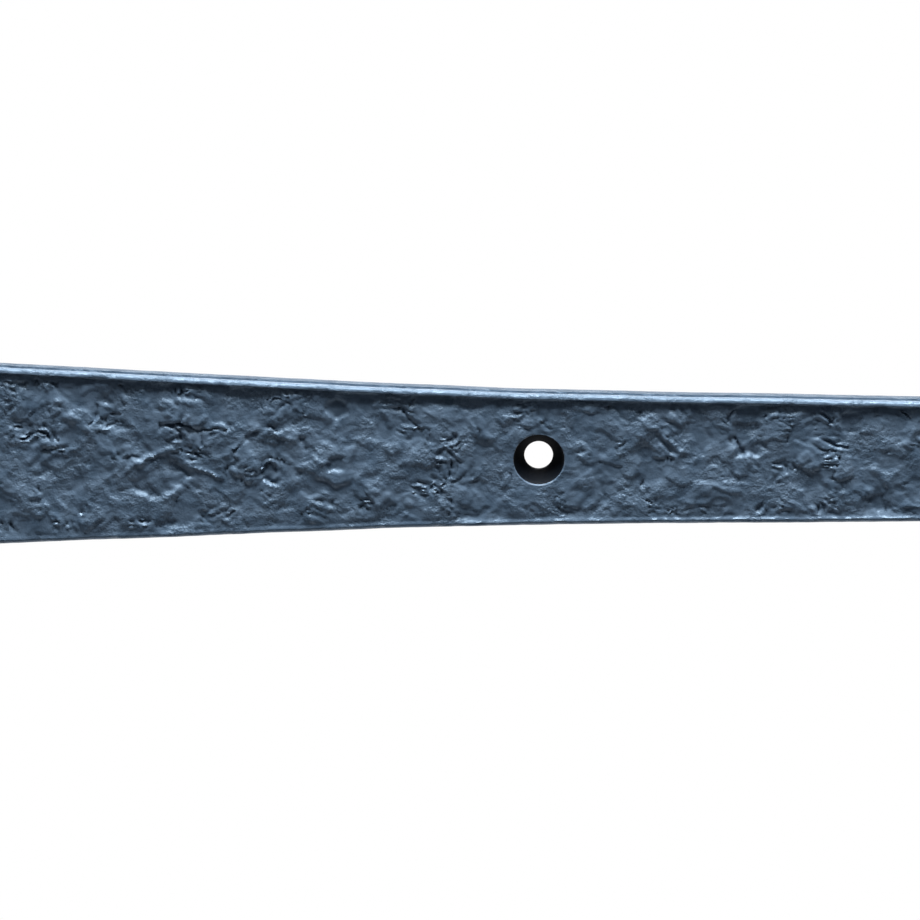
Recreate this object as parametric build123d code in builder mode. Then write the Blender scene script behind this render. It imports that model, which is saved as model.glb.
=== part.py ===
"""Tee hinge: a long crowned strap and a tall frame plate, cast in iron and joined by a riveted pin.

Millimetres. The back plane, where door and frame lie, is y = 0, and the front looks along -Y.
The pin stands along Z, the strap runs along +X, and the origin is on the back plane behind the pin.
"""

import os
from math import radians, tan

from build123d import *

# Casting, shared by both leaves
edge_thickness = 5.0
crown_rise = 0.6
arris_radius = 0.9

# Pin and barrel
pin_radius = 4.0
barrel_wall = 3.5
barrel_set_off = 0.3
pin_head_lip = 2.2
pin_head_height = 2.4
knuckle_side_gap = 0.4
knuckle_web_inset = 1.3
barrel_clearance = 0.9
running_clearance = 0.08
riveted_clearance = 0.02

# Strap outline: distances from the pin axis, and full widths there
strap_length = 457.0
root_width = 36.0
root_end = 22.0
shoulder_station = 47.0
shoulder_width = 34.4
flare_station = 85.0
flare_width = 30.8
neck_station = 123.0
neck_width = 27.2
waist_station = 200.0
waist_width = 24.0
tip_width = 20.0

# Frame plate
plate_height = 150.0
plate_width = 38.0
plate_corner_radius = 4.0
plate_knuckle_length = 17.0

# Countersunk screw holes
screw_hole_radius = 2.75
screw_head_overlap = 2.1
screw_head_angle = 90.0
screw_land = 1.0
strap_first_hole = 34.0
strap_second_hole = 150.0
strap_last_hole_inset = 37.0
plate_inner_hole_inset = 10.0
plate_inner_hole_height = 30.0
plate_outer_hole_inset = 24.0
plate_outer_hole_height = 58.0

# Worked out from the sizes above
leaf_thickness = edge_thickness + crown_rise
barrel_radius = pin_radius + barrel_wall
barrel_axis = -(barrel_radius + barrel_set_off)
web_start = 0.0
strap_knuckle_length = root_width + 2 * knuckle_web_inset
strap_knuckle_top = strap_knuckle_length / 2
plate_knuckle_foot = strap_knuckle_top + knuckle_side_gap
barrel_top = plate_knuckle_foot + plate_knuckle_length
plate_inner_edge = barrel_radius + barrel_clearance
plate_middle = -plate_inner_edge - plate_width / 2
screw_head_radius = screw_hole_radius + screw_head_overlap
screw_seat = screw_land + screw_head_overlap / tan(radians(screw_head_angle / 2))
strap_last_hole = strap_length - strap_last_hole_inset
strap_third_hole = (strap_second_hole + strap_last_hole) / 2
reach = strap_length + plate_height


def crown_radius(width):
    """Radius of the arc that rises by the crown over this width."""
    return ((width / 2) ** 2 + crown_rise**2) / (2 * crown_rise)


def barrel(length, foot):
    """One knuckle's barrel round the pin's axis, with its ends rounded."""
    with BuildPart() as knuckle:
        with BuildSketch(Plane.XY.offset(foot)):
            with Locations((0, barrel_axis)):
                Circle(barrel_radius)
        extrude(amount=length)
        fillet(knuckle.edges().filter_by(GeomType.CIRCLE), radius=arris_radius)
    return knuckle.part


def front_rim(blank, side):
    """The edges round a leaf's front face, all but the one inside the barrel."""
    front = blank.faces().sort_by(Axis.Y)[0]
    return front.edges().filter_by(lambda e: side * e.center().X > web_start + 1)


strap_barrel = barrel(strap_knuckle_length, -strap_knuckle_top)
upper_barrel = barrel(plate_knuckle_length, plate_knuckle_foot)
lower_barrel = barrel(plate_knuckle_length, -barrel_top)

# Strap leaf
with BuildPart() as strap:
    with BuildSketch(Plane.XZ):
        with BuildLine():
            tip_radius = tip_width / 2
            tip_start = strap_length - tip_radius
            upper = Spline(
                (root_end, root_width / 2),
                (shoulder_station, shoulder_width / 2),
                (flare_station, flare_width / 2),
                (neck_station, neck_width / 2),
                (waist_station, waist_width / 2),
                (tip_start, tip_radius),
                tangents=((1, 0), (1, 0)),
            )
            mirror(upper, about=Plane.XZ)
            ThreePointArc((tip_start, tip_radius), (strap_length, 0), (tip_start, -tip_radius))
            Polyline(
                (root_end, root_width / 2),
                (web_start, root_width / 2),
                (web_start, -root_width / 2),
                (root_end, -root_width / 2),
            )
        make_face()
    extrude(amount=leaf_thickness)
    with BuildSketch(Plane.YZ):
        arc = crown_radius(root_width)
        with Locations((arc - leaf_thickness, 0)):
            Circle(arc)
        Rectangle(2 * leaf_thickness, 2 * root_width, mode=Mode.INTERSECT)
    extrude(amount=reach, both=True, mode=Mode.INTERSECT)
    fillet(front_rim(strap, 1), radius=arris_radius)
    add(strap_barrel)
    with BuildSketch(Plane.XY.offset(-strap_knuckle_top)):
        with Locations((0, barrel_axis)):
            Circle(pin_radius + running_clearance)
    extrude(amount=strap_knuckle_length, mode=Mode.SUBTRACT)
    with Locations(Plane.XZ.offset(screw_seat)):
        with Locations(
            (strap_first_hole, 0),
            (strap_second_hole, 0),
            (strap_third_hole, 0),
            (strap_last_hole, 0),
        ):
            CounterSinkHole(
                screw_hole_radius,
                screw_head_radius,
                counter_sink_angle=screw_head_angle,
            )

# Frame plate
with BuildPart() as plate:
    with BuildSketch(Plane.XZ):
        with Locations((plate_middle, 0)):
            RectangleRounded(plate_width, plate_height, plate_corner_radius)
    extrude(amount=leaf_thickness)
    with BuildSketch(Plane.XZ):
        for foot in (plate_knuckle_foot, -barrel_top):
            with Locations((-web_start, foot + knuckle_web_inset)):
                Rectangle(
                    plate_inner_edge - web_start + plate_corner_radius,
                    plate_knuckle_length - 2 * knuckle_web_inset,
                    align=(Align.MAX, Align.MIN),
                )
    extrude(amount=leaf_thickness)
    with BuildSketch(Plane.XY):
        arc = crown_radius(plate_width)
        with Locations((plate_middle, arc - leaf_thickness)):
            Circle(arc)
        with Locations((plate_middle, 0)):
            Rectangle(2 * plate_width, 2 * leaf_thickness, mode=Mode.INTERSECT)
    extrude(amount=reach, both=True, mode=Mode.INTERSECT)
    fillet(front_rim(plate, -1), radius=arris_radius)
    add(upper_barrel)
    add(lower_barrel)
    with BuildSketch(Plane.XY.offset(-barrel_top)):
        with Locations((0, barrel_axis)):
            Circle(pin_radius + riveted_clearance)
    extrude(amount=2 * barrel_top, mode=Mode.SUBTRACT)
    inner_hole = -plate_inner_edge - plate_inner_hole_inset
    outer_hole = -plate_inner_edge - plate_outer_hole_inset
    with Locations(Plane.XZ.offset(screw_seat)):
        with Locations(
            (inner_hole, plate_inner_hole_height),
            (inner_hole, -plate_inner_hole_height),
            (outer_hole, plate_outer_hole_height),
            (outer_hole, -plate_outer_hole_height),
        ):
            CounterSinkHole(
                screw_hole_radius,
                screw_head_radius,
                counter_sink_angle=screw_head_angle,
            )

# Riveted pin
pin_head_radius = pin_radius + pin_head_lip
with BuildPart() as pin:
    with BuildSketch(Plane.XZ.offset(-barrel_axis)):
        with BuildLine():
            crest = barrel_top + pin_head_height
            TangentArc((0, crest), (pin_head_radius, barrel_top), tangent=(1, 0))
            TangentArc((0, -crest), (pin_head_radius, -barrel_top), tangent=(1, 0))
            Polyline(
                (pin_head_radius, barrel_top),
                (pin_radius, barrel_top),
                (pin_radius, -barrel_top),
                (pin_head_radius, -barrel_top),
            )
            Line((0, -crest), (0, crest))
        make_face()
    revolve(axis=Axis((0, barrel_axis, 0), (0, 0, 1)))

os.makedirs("parts", exist_ok=True)
strap.part.label = "strap_leaf"
export_step(strap.part, "parts/strap_leaf.step")
plate.part.label = "frame_plate"
export_step(plate.part, "parts/frame_plate.step")
pin.part.label = "hinge_pin"
export_step(pin.part, "parts/hinge_pin.step")
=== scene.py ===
"""Looks of the tee hinge: rough cast leaves, satin black, before a white studio background.

Lengths in this script are millimetres until a mesh is written, which is in metres.
"""

import math

import bmesh
import bpy
import numpy as np
from mathutils import Matrix, Vector


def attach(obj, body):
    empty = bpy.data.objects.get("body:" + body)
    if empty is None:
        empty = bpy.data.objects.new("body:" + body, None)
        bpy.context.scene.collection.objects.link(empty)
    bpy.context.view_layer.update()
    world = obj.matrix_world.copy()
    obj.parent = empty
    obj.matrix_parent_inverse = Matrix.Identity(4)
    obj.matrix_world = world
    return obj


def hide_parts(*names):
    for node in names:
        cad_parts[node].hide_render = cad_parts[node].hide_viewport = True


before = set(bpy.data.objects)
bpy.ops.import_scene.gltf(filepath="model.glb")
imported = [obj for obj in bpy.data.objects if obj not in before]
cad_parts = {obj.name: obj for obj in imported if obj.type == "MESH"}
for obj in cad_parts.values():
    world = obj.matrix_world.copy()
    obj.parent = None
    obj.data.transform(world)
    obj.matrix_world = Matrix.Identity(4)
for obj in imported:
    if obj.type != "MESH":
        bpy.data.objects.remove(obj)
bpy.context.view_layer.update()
MM = 0.001

# Sizes of the part, as the CAD model has them
LEAF_EDGE = 5.0
CROWN = 0.6
LEAF_MIDDLE = LEAF_EDGE + CROWN
ARRIS = 0.9
STRAP_LENGTH = 457.0
ROOT_WIDTH = 36.0
TIP_RADIUS = 10.0
BARREL_RADIUS = 7.5
BARREL_Y = -7.8
STRAP_BARREL_HALF = 19.3
PLATE_BARREL_FOOT = 19.7
PLATE_BARREL_LENGTH = 17.0
WEB_INSET = 1.3
PLATE_INNER = -8.4
PLATE_WIDTH = 38.0
PLATE_HALF_HEIGHT = 75.0
PLATE_CORNER = 4.0
STRAP_BORE = 4.08
PLATE_BORE = 4.02
STRAP_HOLES = (34.0, 150.0, 285.0, 420.0)
PLATE_HOLES = ((-18.4, 30.0), (-18.4, -30.0), (-32.4, 58.0), (-32.4, -58.0))
HOLE_RADIUS = 2.75
HEAD_RADIUS = 4.85
HEAD_SEAT = 3.1
HOLE_LAND = 1.0

# Details that only the looks have: the hollow at the barrel, the sunk front and its rim, the stepped sides
BARREL_ROOT = 3.0
PLATE_WEB_FRONT = 4.0
PLATE_WEB_BACK = -0.06
PLATE_WEB_REACH = 12.6
PANEL_DEPTH = (0.42, 1.1)
PANEL_CROWN = 0.3
RIM_INNER_WALL = (0.85, 1.3)
CALM_BY_RIM = (0.8, 2.6)
CALM_BY_HOLE = (4.5, 9.0)
SIDE_GROOVE = 0.35
EDGE_WAVE = 0.08
EDGE_RIPPLE = 0.03
SIDE_WAVE = 0.04
HOLE_LIP = 0.22

# Where the photograph shows the strap: its scale, hole and tilt
PHOTO_MM = 0.19
PHOTO_HOLE = (539.0, 459.6)
PHOTO_ROLL = math.radians(0.34)
VIEW_TILT = math.radians(12.5)
SEEN_HOLE = 150.0
SEEN_ROOT_END = (40, 48)
SEEN_TIP_END = (230, 222)

# Noise
random = np.random.default_rng(11)
ORDER = np.tile(random.permutation(256), 2)
SLOPE = random.uniform(0, 2 * math.pi, 256)


def noise(x, y, seed):
    """Smooth gradient noise, about -1 to 1."""
    xi = np.floor(x).astype(int)
    yi = np.floor(y).astype(int)
    xf = x - xi
    yf = y - yi

    def corner(i, j):
        pick = ORDER[(ORDER[(xi + i + 37 * seed) % 256] + yi + j + 11 * seed) % 256]
        return np.cos(SLOPE[pick]) * (xf - i) + np.sin(SLOPE[pick]) * (yf - j)

    u = xf**3 * (xf * (xf * 6 - 15) + 10)
    v = yf**3 * (yf * (yf * 6 - 15) + 10)
    low = corner(0, 0) * (1 - u) + corner(1, 0) * u
    high = corner(0, 1) * (1 - u) + corner(1, 1) * u
    return 1.5 * (low * (1 - v) + high * v)


def cloud(x, y, octaves, seed):
    """Noise with finer and weaker octaves on top."""
    total = 0
    for k in range(octaves):
        total = total + noise(x * 2**k, y * 2**k, seed + 5 * k) / 2**k
    return total


def ease(low, high, x):
    """A smooth step from 0 at low to 1 at high."""
    t = np.clip((x - low) / (high - low), 0, 1)
    return t * t * (3 - 2 * t)


# Marks of the casting seen in the photograph, in its pixels
# Scabs and pits: centre, half sizes, turn in degrees, height in mm
SCABS = (
    (54, 407, 7, 10, 0, 0.3),
    (98, 420, 34, 14, 5, 0.22),
    (113, 422, 12, 11, 0, -0.35),
    (183, 412, 24, 13, 12, 0.42),
    (129, 450, 9, 8, 0, 0.3),
    (158, 478, 30, 20, -20, -0.42),
    (182, 470, 14, 6, 10, -0.3),
    (243, 462, 14, 24, -25, 0.34),
    (253, 428, 5, 7, 0, 0.3),
    (48, 469, 6, 6, 0, -0.3),
    (168, 526, 9, 5, 0, -0.25),
    (41, 510, 5, 6, 0, 0.25),
    (287, 435, 9, 7, 0, 0.3),
    (334, 463, 21, 22, 0, 0.4),
    (334, 463, 11, 10, 30, -0.5),
    (336, 411, 8, 11, 0, -0.45),
    (418, 453, 32, 14, 0, 0.24),
    (377, 495, 12, 10, 0, 0.3),
    (510, 412, 10, 13, 35, 0.3),
    (532, 422, 15, 5, 5, 0.2),
    (593, 408, 13, 4, 0, 0.2),
    (620, 470, 22, 18, 20, 0.16),
    (662, 440, 30, 16, 38, 0.36),
    (681, 416, 12, 10, 0, 0.3),
    (747, 441, 18, 18, -10, -0.5),
    (808, 463, 13, 8, 15, 0.34),
    (850, 422, 11, 10, 0, -0.34),
    (844, 461, 12, 21, 0, 0.32),
    (867, 490, 17, 5, 8, 0.2),
    (890, 500, 19, 17, 0, -0.3),
    (911, 436, 10, 14, 0, 0.26),
    (470, 500, 40, 10, 3, 0.14),
    (705, 495, 34, 12, -4, 0.16),
    (580, 500, 26, 9, 4, 0.14),
    (440, 410, 20, 12, 20, 0.16),
)
# Ridges and cracks: two ends, half width, height in mm
LINES = (
    (76, 412, 57, 441, 3, 0.3),
    (46, 441, 62, 446, 3, 0.25),
    (163, 424, 217, 434, 2.4, -0.5),
    (125, 469, 173, 446, 3, 0.34),
    (198, 465, 223, 478, 3, 0.34),
    (225, 478, 238, 449, 3, -0.45),
    (238, 449, 255, 436, 3, -0.4),
    (213, 488, 238, 500, 2, 0.16),
    (298, 438, 309, 446, 2.2, -0.45),
    (296, 470, 326, 462, 4, 0.3),
    (401, 410, 422, 431, 2.4, -0.4),
    (640, 422, 664, 434, 3, 0.3),
    (664, 434, 681, 456, 3, 0.3),
    (732, 440, 745, 457, 2.6, -0.5),
    (834, 448, 838, 480, 2.4, -0.45),
    (320, 386, 349, 389, 5, -0.3),
)


def photo_marks(u, v):
    """Height of the marks above at points u along and v up the strap's front."""
    px = PHOTO_HOLE[0] + (u - SEEN_HOLE) / PHOTO_MM
    middle = PHOTO_HOLE[1] + (px - PHOTO_HOLE[0]) * math.tan(PHOTO_ROLL)
    py = middle - v * math.cos(VIEW_TILT) / PHOTO_MM
    px = px + 6 * cloud(u / 3.2, v / 3.2, 3, 60)
    py = py + 6 * cloud(u / 3.2, v / 3.2, 3, 70)
    height = np.zeros_like(u)
    for x, y, wide, tall, turn, rise in SCABS:
        c = math.cos(math.radians(turn))
        s = math.sin(math.radians(turn))
        dx = px - x
        dy = py - y
        r = np.hypot((dx * c + dy * s) / wide, (dy * c - dx * s) / tall)
        slant = 1 + 0.35 * (dy * c - dx * s) / tall
        height += rise * slant * ease(1.12, 0.8, r)
    for x0, y0, x1, y1, half, rise in LINES:
        dx, dy = x1 - x0, y1 - y0
        t = np.clip(((px - x0) * dx + (py - y0) * dy) / (dx * dx + dy * dy), 0, 1)
        r = np.hypot(px - x0 - t * dx, py - y0 - t * dy) / half
        height += rise * ease(1.3, 0.1, r)
    return height


def cast_skin(u, v, seed):
    """Height of the rough casting: broad swells, stepped scabs and crumbs."""
    warp_u = u + 2.6 * cloud(u / 6, v / 6, 2, seed + 1)
    warp_v = v + 2.6 * cloud(u / 6, v / 6, 2, seed + 2)
    swell = 0.25 * cloud(u / 11, v / 11, 2, seed + 3)
    level = 1.8 * cloud(warp_u / 8, warp_v / 8, 2, seed + 4)
    terrace = 0.24 * (np.floor(level) + ease(0.38, 0.6, level - np.floor(level)))
    patch = ease(0.05, 0.4, cloud(u / 8, v / 8, 2, seed + 6))
    crumb = 1 - np.abs(cloud(warp_u / 1.5, warp_v / 1.5, 2, seed + 7))
    pits = ease(0.42, 0.7, cloud(warp_u / 2.6, warp_v / 2.6, 2, seed + 8))
    grain = 0.04 * cloud(u / 1.1, v / 1.1, 2, seed + 9)
    return swell + terrace + 0.65 * patch * (crumb - 0.7) - 0.45 * pits * (0.2 + patch) + grain


# Meshes
def new_object(name, verts, faces):
    """A closed mesh object from points in mm, with merged doubles and outward normals."""
    mesh = bpy.data.meshes.new(name)
    mesh.from_pydata([tuple(p) for p in np.asarray(verts) * MM], [], faces)
    work = bmesh.new()
    work.from_mesh(mesh)
    bmesh.ops.remove_doubles(work, verts=work.verts, dist=2e-6)
    bmesh.ops.triangulate(work, faces=[f for f in work.faces if len(f.verts) > 4])
    bmesh.ops.recalc_face_normals(work, faces=work.faces)
    work.to_mesh(mesh)
    work.free()
    obj = bpy.data.objects.new(name, mesh)
    bpy.context.scene.collection.objects.link(obj)
    return obj


def combine(obj, others, operation):
    """Cuts the others from obj, or joins them to it, and removes them."""
    for other in others:
        change = obj.modifiers.new("combine", "BOOLEAN")
        change.operation = operation
        change.solver = "EXACT"
        change.material_mode = "TRANSFER"
        change.object = other
    graph = bpy.context.evaluated_depsgraph_get()
    result = bpy.data.meshes.new_from_object(obj.evaluated_get(graph))
    old = obj.data
    obj.modifiers.clear()
    obj.data = result
    result.name = obj.name
    bpy.data.meshes.remove(old)
    for other in others:
        bpy.data.objects.remove(other)


def lathe(name, profile, segments, place):
    """A closed turned solid from a profile of (radius, along), put in place by a function."""
    verts = []
    for radius, along in profile:
        for k in range(segments):
            a = 2 * math.pi * k / segments
            verts.append(place(radius * math.cos(a), radius * math.sin(a), along))
    faces = []
    for i in range(len(profile) - 1):
        for k in range(segments):
            n = (k + 1) % segments
            a, b = i * segments, (i + 1) * segments
            faces.append((a + k, a + n, b + n, b + k))
    return new_object(name, verts, faces)


def screw_cutter(x, z):
    """The countersunk hole at this place, with a lip a little wider at the mouth, and painted shade inside
    past the mouth.
    """
    lip = LEAF_MIDDLE - sum(PANEL_DEPTH) / 2 - 0.15
    profile = (
        (0, -LEAF_MIDDLE - 3),
        (HEAD_RADIUS + HOLE_LIP, -LEAF_MIDDLE - 3),
        (HEAD_RADIUS + HOLE_LIP, -lip - 0.25),
        (HEAD_RADIUS, -lip),
        (HEAD_RADIUS - 0.1, -HEAD_SEAT - 0.4),
        (HEAD_RADIUS - 0.45, -HEAD_SEAT),
        (HOLE_RADIUS + 0.12, -HOLE_LAND - 0.1),
        (HOLE_RADIUS, -HOLE_LAND + 0.1),
        (HOLE_RADIUS, 2),
        (0, 2),
    )
    cutter = lathe("cutter", profile, 72, lambda a, b, y: (x + a, y, z + b))
    cutter.data.materials.append(iron)
    cutter.data.materials.append(painted_shade_hole)
    # Past the mouth the hole takes the near-black material: painted shade
    for face in cutter.data.polygons:
        face.material_index = 1 if face.center.y > -lip * MM else 0
    return cutter


def bore_cutter(radius, foot, top):
    """The pin's hole between two heights, lined with painted shade."""
    profile = ((0, foot), (radius, foot), (radius, top), (0, top))
    cutter = lathe("cutter", profile, 64, lambda a, b, z: (a, BARREL_Y + b, z))
    cutter.data.materials.append(painted_shade_hole)
    return cutter


def front_path(steps, front):
    """Points and outward normals of a leaf's front, from far along X to the barrel and round it."""
    flat = np.array(steps)
    points = [(x, -front) for x in flat]
    normals = [(0.0, -1.0)] * len(flat)
    hollow_y = -front - BARREL_ROOT
    reach = BARREL_RADIUS + BARREL_ROOT
    hollow_x = math.sqrt(reach**2 - (hollow_y - BARREL_Y) ** 2)
    end = math.pi - math.atan2(BARREL_Y - hollow_y, hollow_x)
    for a in np.linspace(math.pi / 2, end, 9)[1:]:
        c, s = math.cos(a), math.sin(a)
        points.append((hollow_x + BARREL_ROOT * c, hollow_y + BARREL_ROOT * s))
        normals.append((-c, -s))
    start = math.atan2(hollow_y - BARREL_Y, hollow_x)
    for a in np.linspace(start, -1.5 * math.pi, 60)[1:]:
        c, s = math.cos(a), math.sin(a)
        points.append((BARREL_RADIUS * c, BARREL_Y + BARREL_RADIUS * s))
        normals.append((c, s))
    return np.array(points), np.array(normals), len(flat)


def hollow_start(front):
    """X where a leaf's flat front ends and the hollow to the barrel begins."""
    reach = BARREL_RADIUS + BARREL_ROOT
    return math.sqrt(reach**2 - (-front - BARREL_ROOT - BARREL_Y) ** 2)


def ribbon(name, xs, half_at, barrel_half, face_columns, skin, seed, front, tip=None, back=0.0):
    """A leaf with its knuckle: a rough front that runs on round the barrel, side walls and a back."""
    points, normals, flat_rows = front_path(xs, front)
    rows = len(points)
    run = np.concatenate([[0], np.cumsum(np.hypot(*np.diff(points, axis=0).T))])
    along = xs[-1] - (run - run[flat_rows - 1])
    along[:flat_rows] = xs
    half = np.array([half_at(x) for x in xs])
    swell = ease(0, 8, np.arange(rows - flat_rows))
    half = np.concatenate([half, half[-1] + (barrel_half - half[-1]) * swell])
    rough_edge = ease(0, 12, along)
    sides = []
    for s in (seed + 21, seed + 31):
        row = along * 0 + s
        wave = EDGE_WAVE * cloud(along / 23, row, 2, s) + EDGE_RIPPLE * cloud(along / 4, row, 2, s)
        if tip is not None:
            wave = wave * ease(tip + 4, tip - 12, along)
        sides.append(half + wave * rough_edge)
    arris = np.minimum(ARRIS * (1 + 0.12 * cloud(along / 7, along * 0, 2, seed + 41)), 0.45 * half)
    bends = np.radians([90, 72, 54, 36, 18])
    fractions = np.linspace(-1, 1, face_columns)
    cross = []
    for b in bends:
        cross.append(-(sides[0] - arris) - arris * math.sin(b))
    for f in fractions:
        low = -(sides[0] - arris)
        high = sides[1] - arris
        cross.append(low + (high - low) * (f + 1) / 2)
    for b in bends[::-1]:
        cross.append(sides[1] - arris + arris * math.sin(b))
    z = np.array(cross).T
    edge = np.minimum(z + sides[0][:, None], sides[1][:, None] - z)
    if tip is not None:
        centre = STRAP_LENGTH - TIP_RADIUS
        round_edge = TIP_RADIUS - np.hypot(along[:, None] - centre, z)
        edge = np.where(along[:, None] > centre, round_edge, edge)
    roll = np.broadcast_to(np.maximum(arris, 0.05)[:, None], z.shape)
    if tip is not None:
        roll = np.where(along[:, None] > STRAP_LENGTH - TIP_RADIUS, ARRIS, roll)
    inside = np.clip(roll - edge, 0, roll)
    drop = roll - np.sqrt(np.maximum(roll**2 - inside**2, 0))
    leaf_part = ease(hollow_start(front) - 3, hollow_start(front) + 8, along)[:, None]
    crown = leaf_part * z**2 / (2 * ((ROOT_WIDTH / 2) ** 2 / (2 * CROWN)))
    u = np.broadcast_to(along[:, None], z.shape)
    calm = 0.06 + 0.94 * ease(*CALM_BY_RIM, edge)
    height = skin(u, z) * calm * (0.55 + 0.45 * leaf_part)
    panel = leaf_part * ease(*RIM_INNER_WALL, edge) * (0.0 if tip is None else 1.0)
    across = (z / np.maximum(half, 1.0)[:, None] + 1) / 2
    sunk = PANEL_DEPTH[0] + (PANEL_DEPTH[1] - PANEL_DEPTH[0]) * across
    out = height - drop - crown * (1 - (1 - PANEL_CROWN) * panel) - sunk * panel
    px = points[:, 0][:, None] + normals[:, 0][:, None] * out
    py = points[:, 1][:, None] + normals[:, 1][:, None] * out
    top = np.stack([px, py, z], axis=2)
    columns = z.shape[1]
    verts = list(top.reshape(-1, 3))
    faces = []
    for i in range(rows - 1):
        for j in range(columns - 1):
            a = i * columns + j
            faces.append((a, a + 1, a + columns + 1, a + columns))
    wall = {}
    levels = (0.08, 0.44, 0.46, 0.7, 1.0)
    groove = (-SIDE_GROOVE, -SIDE_GROOVE, 0.0, 0.0, 0.0)
    step = len(levels)
    for sign, column in ((-1, 0), (1, columns - 1)):
        base = len(verts)
        for i in range(flat_rows):
            rim = top[i, column]
            for level, sink in zip(levels, groove):
                spot = np.array([along[i] / 2.5])
                depth = np.array([level * 2.0 + seed])
                push = SIDE_WAVE * cloud(spot, depth, 2, seed + 50)[0]
                push = (push + sink) * min(1.0, half[i] / 4) * (0.0 if level == 1.0 else 1.0)
                verts.append((rim[0], rim[1] * (1 - level) + back * level, rim[2] + sign * push))
        wall[sign] = base
        for i in range(flat_rows - 1):
            here = [i * columns + column] + [base + i * step + k for k in range(step)]
            there = [(i + 1) * columns + column] + [base + (i + 1) * step + k for k in range(step)]
            for k in range(step):
                faces.append((here[k], here[k + 1], there[k + 1], there[k]))
    foot = {s: wall[s] + (flat_rows - 1) * step for s in (-1, 1)}
    for i in range(flat_rows - 1):
        low, high = wall[-1] + i * step + step - 1, wall[1] + i * step + step - 1
        faces.append((low, high, high + step, low + step))
    ends = {}
    for sign in (-1, 1):
        ends[sign] = len(verts)
        verts.append((0.0, back, sign * half[flat_rows - 1]))
    faces.append((foot[-1] + step - 1, foot[1] + step - 1, ends[1], ends[-1]))
    last = (rows - 1) * columns
    faces.append([last + j for j in range(columns)] + [ends[1], ends[-1]])
    for sign, column in ((-1, 0), (1, columns - 1)):
        loop = [i * columns + column for i in range(flat_rows - 1, rows)]
        loop += [ends[sign]] + [foot[sign] + k for k in range(step - 1, -1, -1)]
        faces.append(loop)
    return new_object(name, verts, faces)


def mirror_x(obj):
    """Turns a leaf that runs along +X into one along -X."""
    obj.data.transform(Matrix.Scale(-1, 4, (1, 0, 0)))
    obj.data.flip_normals()


def lift(obj, z):
    """Moves a mesh up by z mm."""
    obj.data.transform(Matrix.Translation((0, 0, z * MM)))


# Materials
def rgb(r, g, b):
    return (r, g, b, 1.0)


def black_iron(name, dark, light, gloss):
    """Satin black over rough iron: uneven tone and gloss, fine grain."""
    material = bpy.data.materials.new(name)
    material.use_nodes = True
    nodes = material.node_tree.nodes
    link = material.node_tree.links.new
    shader = nodes["Principled BSDF"]
    place = nodes.new("ShaderNodeTexCoord").outputs["Object"]

    def texture(scale, detail):
        node = nodes.new("ShaderNodeTexNoise")
        node.inputs["Scale"].default_value = scale
        node.inputs["Detail"].default_value = detail
        node.inputs["Roughness"].default_value = 0.6
        link(place, node.inputs["Vector"])
        return node.outputs["Fac"]

    def ramp(value, low, high, first, second):
        node = nodes.new("ShaderNodeValToRGB")
        node.color_ramp.elements[0].position = low
        node.color_ramp.elements[1].position = high
        node.color_ramp.elements[0].color = first
        node.color_ramp.elements[1].color = second
        link(value, node.inputs["Fac"])
        return node.outputs["Color"]

    tone = ramp(texture(260, 5), 0.35, 0.7, rgb(*dark), rgb(*light))
    link(tone, shader.inputs["Base Color"])
    low, high = gloss
    shine = ramp(texture(420, 4), 0.35, 0.68, rgb(low, low, low), rgb(high, high, high))
    link(shine, shader.inputs["Roughness"])
    shader.inputs["Specular IOR Level"].default_value = 0.5
    shader.inputs["Specular Tint"].default_value = rgb(0.6, 0.8, 1.0)
    coarse = nodes.new("ShaderNodeBump")
    coarse.inputs["Strength"].default_value = 0.9
    coarse.inputs["Distance"].default_value = 0.0006
    clusters = nodes.new("ShaderNodeMath")
    clusters.operation = "MULTIPLY"
    link(texture(900, 4), clusters.inputs[0])
    link(ramp(texture(170, 2), 0.42, 0.62, rgb(0.15, 0.15, 0.15), rgb(1, 1, 1)), clusters.inputs[1])
    link(clusters.outputs[0], coarse.inputs["Height"])
    fine = nodes.new("ShaderNodeBump")
    fine.inputs["Strength"].default_value = 0.35
    fine.inputs["Distance"].default_value = 0.00016
    link(texture(3200, 3), fine.inputs["Height"])
    link(coarse.outputs["Normal"], fine.inputs["Normal"])
    link(fine.outputs["Normal"], shader.inputs["Normal"])
    return material


iron = black_iron("black_iron", (0.043, 0.069, 0.104), (0.071, 0.106, 0.152), (0.24, 0.5))
# A darker, rougher copy of the black iron: painted shade for the strap's long side walls
side = black_iron("side_iron_painted_shade", (0.026, 0.041, 0.062), (0.036, 0.055, 0.08), (0.34, 0.5))
steel = black_iron("pin_black", (0.04, 0.068, 0.104), (0.06, 0.096, 0.14), (0.28, 0.4))

# Inside the holes: near black and almost unreflecting, painted shade
painted_shade_hole = bpy.data.materials.new("painted_shade_hole")
painted_shade_hole.use_nodes = True
hole_shader = painted_shade_hole.node_tree.nodes["Principled BSDF"]
hole_shader.inputs["Base Color"].default_value = rgb(0.003, 0.0045, 0.007)
hole_shader.inputs["Roughness"].default_value = 0.6
hole_shader.inputs["Specular IOR Level"].default_value = 0.03


# Strap: its half width comes from the CAD model, read row by row
strap_node = np.array([v.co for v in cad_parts["strap_leaf"].data.vertices]) / MM
rim_points = strap_node[(strap_node[:, 0] > 20) & (np.abs(strap_node[:, 1]) < 0.01)]
rim_points = rim_points[np.abs(rim_points[:, 2]) > 8.0]
upper_rim = rim_points[rim_points[:, 2] > 0]
upper_rim = upper_rim[np.argsort(upper_rim[:, 0])]


def strap_half(x):
    """Half the strap's width at x."""
    centre = STRAP_LENGTH - TIP_RADIUS
    if x > centre:
        return math.sqrt(max(TIP_RADIUS**2 - (x - centre) ** 2, 0.0))
    return float(np.interp(x, upper_rim[:, 0], upper_rim[:, 2]))


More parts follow.
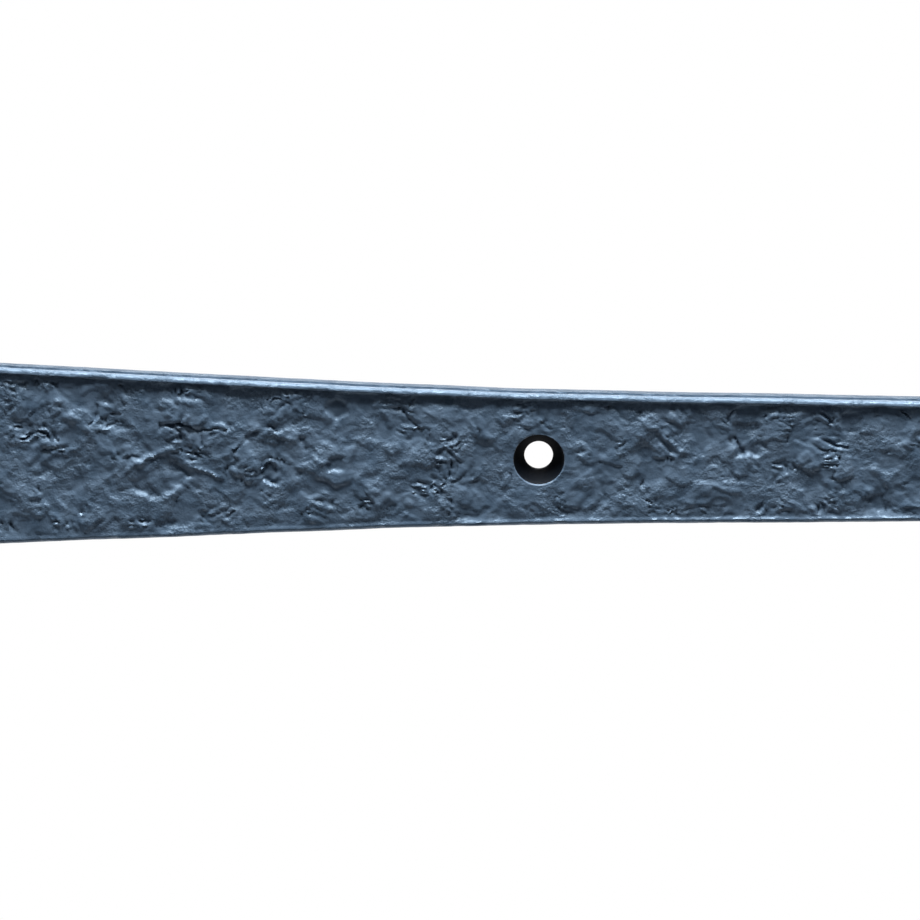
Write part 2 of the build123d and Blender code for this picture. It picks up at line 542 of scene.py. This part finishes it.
def strap_skin(u, v):
    """The strap's relief: the general skin, and the marks in the stretch that the photograph shows."""
    calm_hole = np.ones_like(u)
    for station in STRAP_HOLES:
        calm_hole = np.minimum(calm_hole, 0.3 + 0.7 * ease(*CALM_BY_HOLE, np.hypot(u - station, v)))
    seen = ease(*SEEN_ROOT_END, u) * ease(*SEEN_TIP_END, u)
    return calm_hole * (cast_skin(u, v, 3) * (1 - 0.1 * seen) + 1.05 * seen * photo_marks(u, v))


tip_turn = np.radians(np.linspace(90, 0, 22))
tip_rows = STRAP_LENGTH - TIP_RADIUS + TIP_RADIUS * np.sin(tip_turn)
plain_rows = np.arange(STRAP_LENGTH - TIP_RADIUS - 0.8, 228, -0.95)
seen_rows = np.arange(228, 44, -0.38)
strap_hollow = hollow_start(LEAF_MIDDLE)
root_rows = np.arange(44, strap_hollow + 0.4, -0.8)
strap_rows = np.concatenate([tip_rows, plain_rows, seen_rows, root_rows, [strap_hollow]])
STRAP_COLUMNS = 84
STRAP_SEED = 3
strap = ribbon(
    "strap_skin",
    strap_rows,
    strap_half,
    STRAP_BARREL_HALF,
    STRAP_COLUMNS,
    strap_skin,
    STRAP_SEED,
    LEAF_MIDDLE,
    tip=STRAP_LENGTH,
)
strap.data.materials.append(iron)
cutters = [screw_cutter(x, 0.0) for x in STRAP_HOLES]
cutters.append(bore_cutter(STRAP_BORE, -30, 30))
combine(strap, cutters, "DIFFERENCE")

# Frame plate: a slab with rounded corners, then its two knuckles
plate_middle = PLATE_INNER - PLATE_WIDTH / 2


def plate_slab():
    """The plate without its knuckles, its rough front drawn in rows up the plate."""
    turn = np.radians(np.linspace(90, 0, 10))
    corner = PLATE_HALF_HEIGHT - PLATE_CORNER + PLATE_CORNER * np.sin(turn)
    plain = np.arange(PLATE_HALF_HEIGHT - PLATE_CORNER - 0.7, 0, -0.8)
    z = np.concatenate([corner, plain])
    z = np.concatenate([z, -z[::-1]])
    past = np.maximum(np.abs(z) - (PLATE_HALF_HEIGHT - PLATE_CORNER), 0)
    half = PLATE_WIDTH / 2 - PLATE_CORNER + np.sqrt(np.maximum(PLATE_CORNER**2 - past**2, 0))
    t = np.linspace(-1, 1, 58)
    close = np.array([0.94, 0.95, 0.96, 0.97, 0.98, 0.99, 0.996, 1.0])
    t = np.concatenate([-close, t[2:-2], close])
    t = np.unique(np.round(t, 5))
    x = half[:, None] * t[None, :]
    zz = np.broadcast_to(z[:, None], x.shape)
    straight = np.minimum(PLATE_WIDTH / 2 - np.abs(x), PLATE_HALF_HEIGHT - np.abs(zz))
    cx = np.abs(x) - (PLATE_WIDTH / 2 - PLATE_CORNER)
    cz = np.abs(zz) - (PLATE_HALF_HEIGHT - PLATE_CORNER)
    rounded = PLATE_CORNER - np.hypot(np.maximum(cx, 0), np.maximum(cz, 0))
    edge = np.where((cx > 0) & (cz > 0), rounded, straight)
    inside = np.clip(ARRIS - edge, 0, ARRIS)
    drop = ARRIS - np.sqrt(np.maximum(ARRIS**2 - inside**2, 0))
    crown = CROWN * (x / (PLATE_WIDTH / 2)) ** 2
    calm = 0.06 + 0.94 * ease(*CALM_BY_RIM, edge)
    for hx, hz in PLATE_HOLES:
        calm = calm * (0.3 + 0.7 * ease(*CALM_BY_HOLE, np.hypot(x + plate_middle - hx, zz - hz)))
    calm = calm * (0.25 + 0.75 * ease(19, 15, x))
    panel = ease(*RIM_INNER_WALL, edge)
    sunk = (PANEL_DEPTH[0] + PANEL_DEPTH[1]) / 2
    out = cast_skin(zz, x, 90) * calm - drop - crown * (1 - (1 - PANEL_CROWN) * panel) - sunk * panel
    front = np.stack([x + plate_middle, -LEAF_MIDDLE - out, zz], axis=2)
    back = front.copy()
    back[:, :, 1] = 0.0
    rows, columns = x.shape
    verts = list(front.reshape(-1, 3)) + list(back.reshape(-1, 3))
    size = rows * columns
    faces = []
    for i in range(rows - 1):
        for j in range(columns - 1):
            a = i * columns + j
            faces.append((a, a + 1, a + columns + 1, a + columns))
            faces.append((size + a, size + a + columns, size + a + columns + 1, size + a + 1))
        for j in (0, columns - 1):
            a = i * columns + j
            faces.append((a, a + columns, size + a + columns, size + a))
    for i in (0, rows - 1):
        for j in range(columns - 1):
            a = i * columns + j
            faces.append((a, a + 1, size + a + 1, size + a))
    return new_object("plate_skin", verts, faces)


WEB_COLUMNS = 24


def plate_knuckle(middle, seed):
    """One of the plate's knuckles with its web, reaching a little way into the plate."""
    start = hollow_start(PLATE_WEB_FRONT)
    web_rows = np.concatenate([np.arange(PLATE_WEB_REACH, start + 0.4, -0.5), [start]])
    web_half = PLATE_BARREL_LENGTH / 2 - WEB_INSET

    def even_half(x):
        return web_half

    def skin(u, v):
        return 0.7 * cast_skin(u, v, seed)

    knuckle = ribbon(
        "knuckle",
        web_rows,
        even_half,
        PLATE_BARREL_LENGTH / 2,
        WEB_COLUMNS,
        skin,
        seed,
        PLATE_WEB_FRONT,
        back=PLATE_WEB_BACK,
    )
    knuckle.data.materials.append(iron)
    mirror_x(knuckle)
    lift(knuckle, middle)
    return knuckle


plate = plate_slab()
plate.data.materials.append(iron)
knuckle_middle = PLATE_BARREL_FOOT + PLATE_BARREL_LENGTH / 2
combine(plate, [plate_knuckle(knuckle_middle, 120), plate_knuckle(-knuckle_middle, 150)], "UNION")
cutters = [screw_cutter(x, z) for x, z in PLATE_HOLES]
cutters.append(bore_cutter(PLATE_BORE, -60, 60))
combine(plate, cutters, "DIFFERENCE")


# Where the strap's long walls take the painted shade of the darker iron copy
SIDE_START = 0.03
SIDE_DEPTH = (-0.0042, -0.0002)


def dress(obj):
    """Smooth shading with sharp corners kept, and painted shade on the strap's long walls: a darker copy
    of the iron.
    """
    obj.data.polygons.foreach_set("use_smooth", [True] * len(obj.data.polygons))
    obj.data.set_sharp_from_angle(angle=math.radians(48))
    obj.data.materials.append(side)
    for face in obj.data.polygons:
        # The long walls take the darker copy: painted shade
        faces_side = abs(face.normal.z) > 0.75
        on_strap_side = face.center.x > SIDE_START and SIDE_DEPTH[0] < face.center.y < SIDE_DEPTH[1]
        if faces_side and on_strap_side and obj.data.materials[face.material_index] == iron:
            face.material_index = len(obj.data.materials) - 1


dress(strap)
dress(plate)
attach(strap, "strap")
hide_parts("strap_leaf")
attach(plate, "plate")
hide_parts("frame_plate")
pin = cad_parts["hinge_pin"]
pin.data.materials.clear()
pin.data.materials.append(steel)

# Studio: a pale floor well below, and white all round
FLOOR_Z = -0.6
FLOOR_HALF = 6.0
floor_mesh = bpy.data.meshes.new("floor")
corners = ((-1, -1), (1, -1), (1, 1), (-1, 1))
floor_mesh.from_pydata(
    [(FLOOR_HALF * a, FLOOR_HALF * b, FLOOR_Z) for a, b in corners],
    [],
    [(0, 1, 2, 3)],
)
floor = bpy.data.objects.new("floor", floor_mesh)
bpy.context.scene.collection.objects.link(floor)


def seen_directly(nodes, link):
    """1 for rays from the camera or by mirror or glass, else 0."""
    path = nodes.new("ShaderNodeLightPath")
    total = path.outputs["Is Camera Ray"]
    for name in ("Is Glossy Ray", "Is Transmission Ray"):
        either = nodes.new("ShaderNodeMath")
        either.operation = "MAXIMUM"
        link(total, either.inputs[0])
        link(path.outputs[name], either.inputs[1])
        total = either.outputs[0]
    return total


pale = bpy.data.materials.new("floor_white")
pale.use_nodes = True
nodes = pale.node_tree.nodes
link = pale.node_tree.links.new
nodes.remove(nodes["Principled BSDF"])
matte = nodes.new("ShaderNodeBsdfDiffuse")
matte.inputs["Color"].default_value = rgb(0.84, 0.84, 0.85)
glow = nodes.new("ShaderNodeEmission")
place = nodes.new("ShaderNodeTexCoord")
far = nodes.new("ShaderNodeVectorMath")
far.operation = "LENGTH"
link(place.outputs["Object"], far.inputs[0])
fade = nodes.new("ShaderNodeMapRange")
fade.inputs["From Min"].default_value = 0.95
fade.inputs["From Max"].default_value = 1.35
link(far.outputs["Value"], fade.inputs["Value"])
white_part = nodes.new("ShaderNodeMath")
white_part.operation = "MULTIPLY"
link(fade.outputs["Result"], white_part.inputs[0])
link(seen_directly(nodes, link), white_part.inputs[1])
mix = nodes.new("ShaderNodeMixShader")
link(white_part.outputs[0], mix.inputs["Fac"])
link(matte.outputs[0], mix.inputs[1])
link(glow.outputs[0], mix.inputs[2])
link(mix.outputs[0], nodes["Material Output"].inputs["Surface"])
floor.data.materials.append(pale)

# Dark cards: one before the hinge, lying low and then standing, and one behind it, above the view
card_mesh = bpy.data.meshes.new("card")
CARD_LINE = ((-0.25, -0.45), (-1.3, -0.45), (-1.3, 0.5), (1.0, 0.05), (1.0, 0.9))
CARD_ENDS = (-2.0, 2.3)
card_mesh.from_pydata(
    [(x, y, z) for y, z in CARD_LINE for x in CARD_ENDS],
    [],
    [(0, 1, 3, 2), (2, 3, 5, 4), (6, 7, 9, 8)],
)
card = bpy.data.objects.new("card", card_mesh)
bpy.context.scene.collection.objects.link(card)
card.visible_camera = False
card.visible_shadow = False
dark = bpy.data.materials.new("card_black")
dark.use_nodes = True
dark.node_tree.nodes["Principled BSDF"].inputs["Base Color"].default_value = rgb(0.03, 0.03, 0.035)
dark.node_tree.nodes["Principled BSDF"].inputs["Roughness"].default_value = 0.9
card.data.materials.append(dark)

world = bpy.data.worlds.new("studio")
bpy.context.scene.world = world
world.use_nodes = True
nodes = world.node_tree.nodes
link = world.node_tree.links.new
soft = nodes["Background"]
soft.inputs["Color"].default_value = rgb(0.8, 0.88, 1.0)
soft.inputs["Strength"].default_value = 0.25
white = nodes.new("ShaderNodeBackground")
white.inputs["Color"].default_value = rgb(1, 1, 1)
white.inputs["Strength"].default_value = 1.0
mix = nodes.new("ShaderNodeMixShader")
link(seen_directly(nodes, link), mix.inputs["Fac"])
link(soft.outputs[0], mix.inputs[1])
link(white.outputs[0], mix.inputs[2])
link(mix.outputs[0], nodes["World Output"].inputs["Surface"])


def softbox(name, place, aim, wide, deep, watts):
    """A soft lamp at one place, turned to another."""
    lamp = bpy.data.lights.new(name, "AREA")
    lamp.shape = "RECTANGLE"
    lamp.size = wide
    lamp.size_y = deep
    lamp.energy = watts
    obj = bpy.data.objects.new(name, lamp)
    obj.location = place
    obj.rotation_euler = (Vector(aim) - Vector(place)).to_track_quat("-Z", "Y").to_euler()
    bpy.context.scene.collection.objects.link(obj)


LAMP_AIM = (0.14, 0.0, 0.0)
softbox("overhead", place=(0.12, -0.18, 0.75), aim=LAMP_AIM, wide=0.7, deep=0.28, watts=26.0)
softbox("rear", place=(0.12, 0.6, 0.6), aim=LAMP_AIM, wide=0.7, deep=0.4, watts=7.0)

# Camera: the photograph's view of the strap
LENS = 200.0
SENSOR = 36.0
FRAME_WIDTH = 920 * PHOTO_MM * MM
camera_data = bpy.data.cameras.new("camera")
camera_data.lens = LENS
camera_data.sensor_width = SENSOR
camera = bpy.data.objects.new("camera", camera_data)
bpy.context.scene.collection.objects.link(camera)
bpy.context.scene.camera = camera
distance = FRAME_WIDTH * LENS / SENSOR
centre_x = (SEEN_HOLE + (460.0 - PHOTO_HOLE[0]) * PHOTO_MM) * MM
aim = Vector((centre_x, -LEAF_MIDDLE * MM, 0.0))
back = Vector((0.0, -math.cos(VIEW_TILT), math.sin(VIEW_TILT)))
camera.location = aim + back * distance
roll = Matrix.Rotation(PHOTO_ROLL, 4, "Z")
camera.matrix_world = (
    Matrix.Translation(camera.location) @ (-back).to_track_quat("-Z", "Y").to_matrix().to_4x4() @ roll
)
camera_data.clip_start = 0.01
camera_data.clip_end = 100.0

bpy.context.scene.view_settings.view_transform = "Standard"
